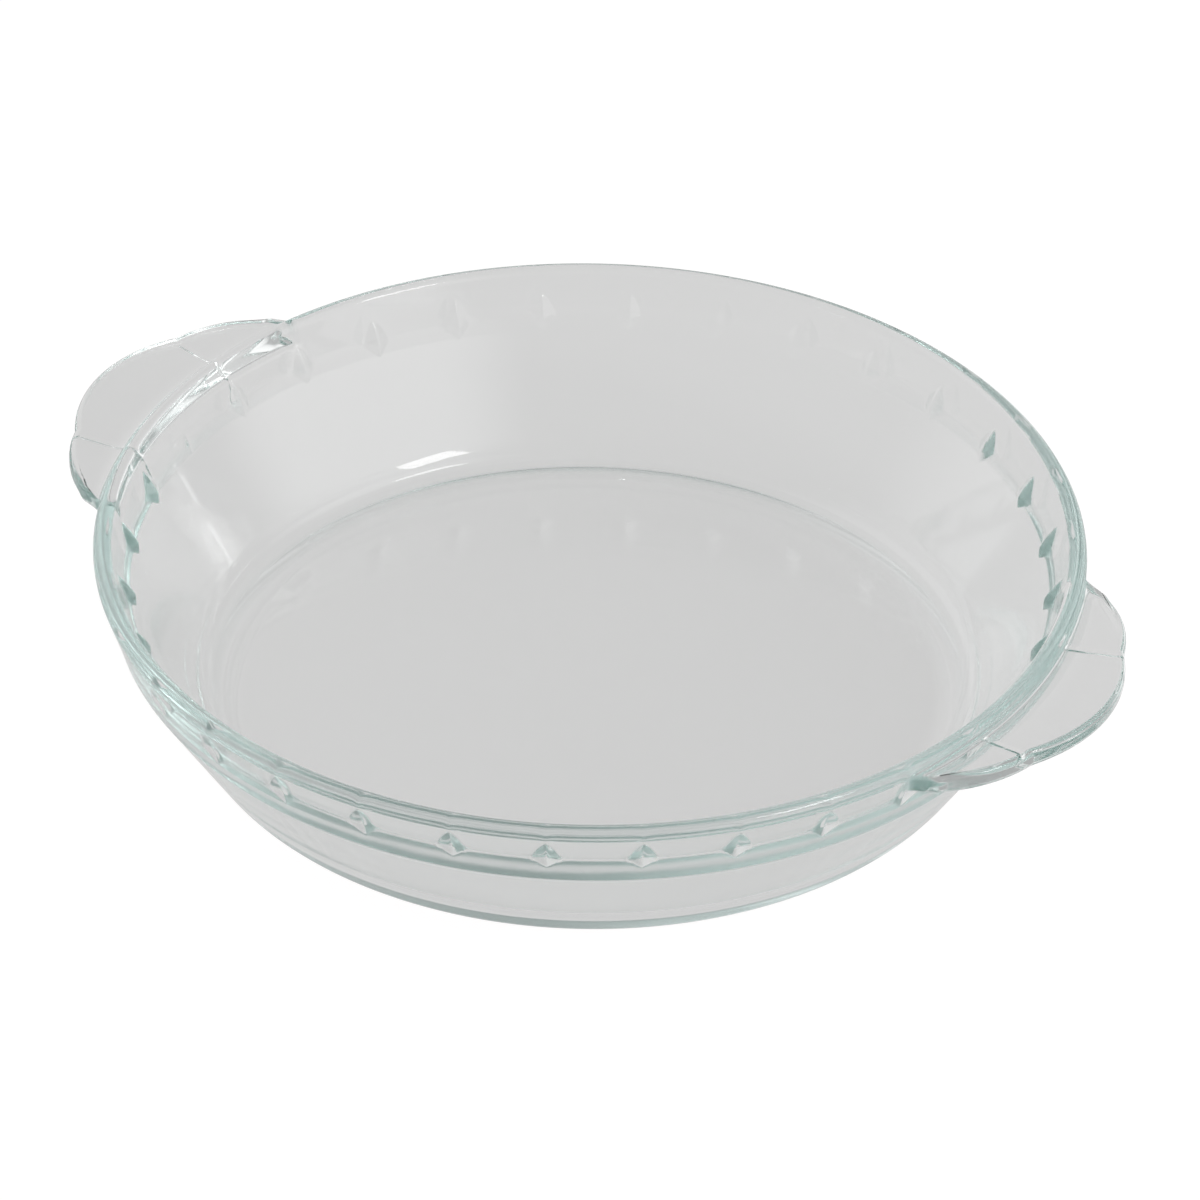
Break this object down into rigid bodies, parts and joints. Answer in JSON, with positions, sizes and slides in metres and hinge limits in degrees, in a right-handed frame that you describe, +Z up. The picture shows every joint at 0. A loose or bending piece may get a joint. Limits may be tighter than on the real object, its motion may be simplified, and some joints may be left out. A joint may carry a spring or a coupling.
{
  "type": "glass baking dish",
  "caption": "Round clear glass baking dish with a flared wall, crimps inside the collar under the rounded rim and lobed handle tabs.",
  "frame": {"origin": "centre of the flat underside, on the surface that the dish stands on", "axes": "+Z up through the open top, +X through the middle of one handle"},
  "size_m": [0.2906, 0.25, 0.049],
  "materials": {
    "clear_glass": "clear pressed glass with a slight green tint, fire polished"
  },
  "bodies": {
    "root": {"glass_dish": "clear_glass"}
  },
  "joints": []
}
